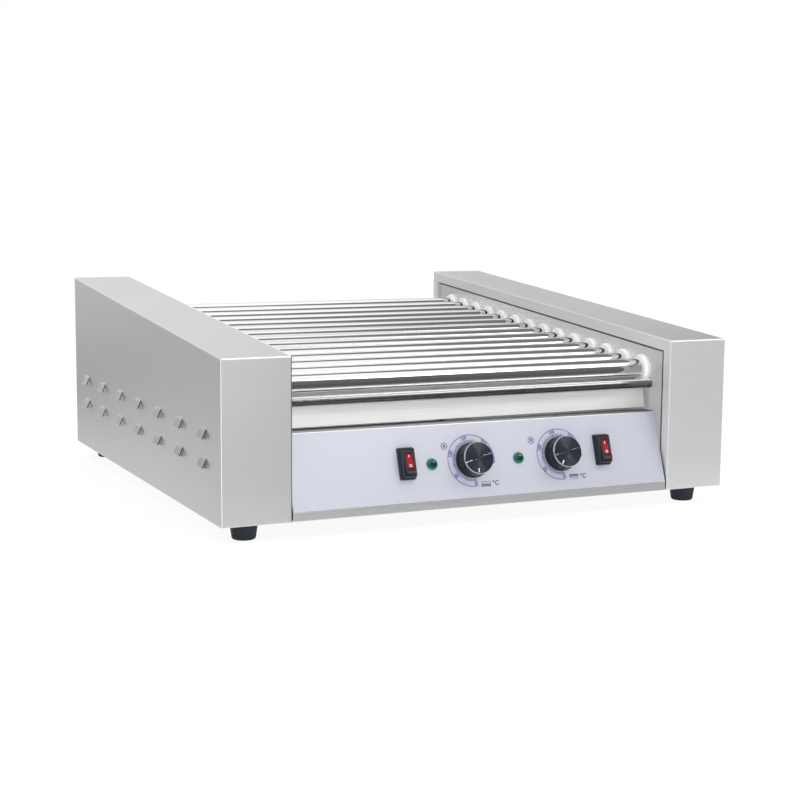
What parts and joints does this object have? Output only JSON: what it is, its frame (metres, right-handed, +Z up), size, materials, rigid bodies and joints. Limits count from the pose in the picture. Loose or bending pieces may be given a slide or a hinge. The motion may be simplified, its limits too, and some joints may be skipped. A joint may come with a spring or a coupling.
{
  "type": "hot dog roller grill",
  "caption": "Countertop sausage roller grill: chain-driven heated rollers between two louvred side housings, slide-out drip tray and sloping control panel with dials and switches",
  "frame": {"origin": "centre of the whole object's footprint, on the surface it stands on (undersides of the feet)", "axes": "+Z up; the front with the control panel faces -Y; +X to the right of someone facing the front, along the rollers"},
  "size_m": [0.589, 0.5998, 0.227],
  "materials": {
    "brushed_steel_sheet": "fine horizontal brushing, satin",
    "side_plate_steel": "satin stainless sheet",
    "polished_roller": "mirror polished tube",
    "polished_rod": "polished round bar",
    "tray_steel": "bright stainless sheet",
    "overlay_print": "pale lilac printed film, satin",
    "seal_white": "white fluoropolymer, matt",
    "knob_black": "black, chrome bevel ring, spun face",
    "lamp_green": "translucent green lens",
    "switch_black": "charcoal, satin",
    "rocker_red": "translucent red lens with white marks",
    "foot_rubber": "dark rubber",
    "gland_black": "black nylon",
    "element_tube": "heat stained sheath",
    "white_ceramic": "unglazed",
    "galvanised": "zinc plated",
    "motor_paint": "grey paint",
    "drive_steel": "oiled steel",
    "thermostat_body": "moulded cream thermoset"
  },
  "bodies": {
    "chassis": {"side_plate_left": "side_plate_steel", "side_plate_right": "side_plate_steel", "side_cover_left": "brushed_steel_sheet", "side_cover_right": "brushed_steel_sheet", "base_pan": "galvanised", "control_panel": "brushed_steel_sheet", "panel_overlay": "overlay_print", "rear_panel": "brushed_steel_sheet", "tray_rails": "side_plate_steel", "front_guard_rod": "polished_rod", "roller_seals": "seal_white", "heating_elements": "element_tube", "element_insulators": "white_ceramic", "element_brackets": "galvanised", "gear_motor": "motor_paint", "drive_brackets": "galvanised", "thermostats": "thermostat_body", "indicator_lamps": "lamp_green", "switch_housings": "switch_black", "cable_gland": "gland_black", "rubber_feet": "foot_rubber", "chassis_screws": "galvanised", "drive_chain": "drive_steel"},
    "tray": {"drip_tray": "tray_steel"},
    "front_zone_control": {"knob_front_zone": "knob_black", "thermostat_shaft_front_zone": "galvanised"},
    "back_zone_control": {"knob_back_zone": "knob_black", "thermostat_shaft_back_zone": "galvanised"},
    "left_rocker": {"rocker_left": "rocker_red"},
    "right_rocker": {"rocker_right": "rocker_red"},
    "motor_output": {"motor_sprocket": "drive_steel"},
    "idler": {"idler_sprocket": "drive_steel"},
    "roller_01_body": {"roller_01": "polished_roller", "roller_sprocket_01": "drive_steel"},
    "roller_02_body": {"roller_02": "polished_roller", "roller_sprocket_02": "drive_steel"},
    "roller_03_body": {"roller_03": "polished_roller", "roller_sprocket_03": "drive_steel"},
    "roller_04_body": {"roller_04": "polished_roller", "roller_sprocket_04": "drive_steel"},
    "roller_05_body": {"roller_05": "polished_roller", "roller_sprocket_05": "drive_steel"},
    "roller_06_body": {"roller_06": "polished_roller", "roller_sprocket_06": "drive_steel"},
    "roller_07_body": {"roller_07": "polished_roller", "roller_sprocket_07": "drive_steel"},
    "roller_08_body": {"roller_08": "polished_roller", "roller_sprocket_08": "drive_steel"},
    "roller_09_body": {"roller_09": "polished_roller", "roller_sprocket_09": "drive_steel"},
    "roller_10_body": {"roller_10": "polished_roller", "roller_sprocket_10": "drive_steel"},
    "roller_11_body": {"roller_11": "polished_roller", "roller_sprocket_11": "drive_steel"},
    "roller_12_body": {"roller_12": "polished_roller", "roller_sprocket_12": "drive_steel"},
    "roller_13_body": {"roller_13": "polished_roller", "roller_sprocket_13": "drive_steel"},
    "roller_14_body": {"roller_14": "polished_roller", "roller_sprocket_14": "drive_steel"}
  },
  "joints": [
    {"name": "roller_01_spin", "type": "hinge", "parent": "chassis", "child": "roller_01_body", "pos_m": [0, -0.2345, 0.146], "axis": [1, 0, 0], "continuous": true, "deforming": ["drive_chain"]},
    {"name": "roller_02_spin", "type": "hinge", "parent": "chassis", "child": "roller_02_body", "pos_m": [0, -0.1985, 0.14885], "axis": [1, 0, 0], "continuous": true, "deforming": ["drive_chain"]},
    {"name": "roller_03_spin", "type": "hinge", "parent": "chassis", "child": "roller_03_body", "pos_m": [0, -0.1625, 0.15171], "axis": [1, 0, 0], "continuous": true, "deforming": ["drive_chain"]},
    {"name": "roller_04_spin", "type": "hinge", "parent": "chassis", "child": "roller_04_body", "pos_m": [0, -0.1265, 0.15457], "axis": [1, 0, 0], "continuous": true, "deforming": ["drive_chain"]},
    {"name": "roller_05_spin", "type": "hinge", "parent": "chassis", "child": "roller_05_body", "pos_m": [0, -0.0905, 0.15742], "axis": [1, 0, 0], "continuous": true, "deforming": ["drive_chain"]},
    {"name": "roller_06_spin", "type": "hinge", "parent": "chassis", "child": "roller_06_body", "pos_m": [0, -0.0545, 0.16028], "axis": [1, 0, 0], "continuous": true, "deforming": ["drive_chain"]},
    {"name": "roller_07_spin", "type": "hinge", "parent": "chassis", "child": "roller_07_body", "pos_m": [0, -0.0185, 0.16313], "axis": [1, 0, 0], "continuous": true, "deforming": ["drive_chain"]},
    {"name": "roller_08_spin", "type": "hinge", "parent": "chassis", "child": "roller_08_body", "pos_m": [0, 0.0175, 0.16599], "axis": [1, 0, 0], "continuous": true, "deforming": ["drive_chain"]},
    {"name": "roller_09_spin", "type": "hinge", "parent": "chassis", "child": "roller_09_body", "pos_m": [0, 0.0535, 0.16884], "axis": [1, 0, 0], "continuous": true, "deforming": ["drive_chain"]},
    {"name": "roller_10_spin", "type": "hinge", "parent": "chassis", "child": "roller_10_body", "pos_m": [0, 0.0895, 0.1717], "axis": [1, 0, 0], "continuous": true, "deforming": ["drive_chain"]},
    {"name": "roller_11_spin", "type": "hinge", "parent": "chassis", "child": "roller_11_body", "pos_m": [0, 0.1255, 0.17455], "axis": [1, 0, 0], "continuous": true, "deforming": ["drive_chain"]},
    {"name": "roller_12_spin", "type": "hinge", "parent": "chassis", "child": "roller_12_body", "pos_m": [0, 0.1615, 0.17741], "axis": [1, 0, 0], "continuous": true, "deforming": ["drive_chain"]},
    {"name": "roller_13_spin", "type": "hinge", "parent": "chassis", "child": "roller_13_body", "pos_m": [0, 0.1975, 0.18026], "axis": [1, 0, 0], "continuous": true, "deforming": ["drive_chain"]},
    {"name": "roller_14_spin", "type": "hinge", "parent": "chassis", "child": "roller_14_body", "pos_m": [0, 0.2335, 0.18312], "axis": [1, 0, 0], "continuous": true, "deforming": ["drive_chain"]},
    {"name": "idler_spin", "type": "hinge", "parent": "chassis", "child": "idler", "pos_m": [0.235, 0, 0.08558], "axis": [1, 0, 0], "continuous": true, "deforming": ["drive_chain"]},
    {"name": "motor_spin", "type": "hinge", "parent": "chassis", "child": "motor_output", "pos_m": [0.235, 0.24, 0.105], "axis": [1, 0, 0], "continuous": true, "deforming": ["drive_chain"]},
    {"name": "tray_slide", "type": "slide", "parent": "chassis", "child": "tray", "axis": [0, -1, 0], "range_m": [0, 0.42]},
    {"name": "front_zone_dial", "type": "hinge", "parent": "chassis", "child": "front_zone_control", "pos_m": [-0.0153, -0.27675, 0.06369], "axis": [0, 0.9478, -0.3189], "range_deg": [-14, 268]},
    {"name": "back_zone_dial", "type": "hinge", "parent": "chassis", "child": "back_zone_control", "pos_m": [0.0896, -0.27675, 0.06369], "axis": [0, 0.9478, -0.3189], "range_deg": [-38, 244]},
    {"name": "left_rocker_tip", "type": "hinge", "parent": "chassis", "child": "left_rocker", "pos_m": [-0.0898, -0.282, 0.06693], "axis": [1, 0, 0], "range_deg": [0, 20]},
    {"name": "right_rocker_tip", "type": "hinge", "parent": "chassis", "child": "right_rocker", "pos_m": [0.1414, -0.282, 0.06693], "axis": [1, 0, 0], "range_deg": [0, 20]}
  ],
  "couplings": [
    {"joint": "roller_02_spin", "follows": "roller_01_spin", "ratio": 1},
    {"joint": "roller_03_spin", "follows": "roller_01_spin", "ratio": 1},
    {"joint": "roller_04_spin", "follows": "roller_01_spin", "ratio": 1},
    {"joint": "roller_05_spin", "follows": "roller_01_spin", "ratio": 1},
    {"joint": "roller_06_spin", "follows": "roller_01_spin", "ratio": 1},
    {"joint": "roller_07_spin", "follows": "roller_01_spin", "ratio": 1},
    {"joint": "roller_08_spin", "follows": "roller_01_spin", "ratio": 1},
    {"joint": "roller_09_spin", "follows": "roller_01_spin", "ratio": 1},
    {"joint": "roller_10_spin", "follows": "roller_01_spin", "ratio": 1},
    {"joint": "roller_11_spin", "follows": "roller_01_spin", "ratio": 1},
    {"joint": "roller_12_spin", "follows": "roller_01_spin", "ratio": 1},
    {"joint": "roller_13_spin", "follows": "roller_01_spin", "ratio": 1},
    {"joint": "roller_14_spin", "follows": "roller_01_spin", "ratio": 1},
    {"joint": "idler_spin", "follows": "roller_01_spin", "ratio": 1},
    {"joint": "motor_spin", "follows": "roller_01_spin", "ratio": 0.75}
  ]
}
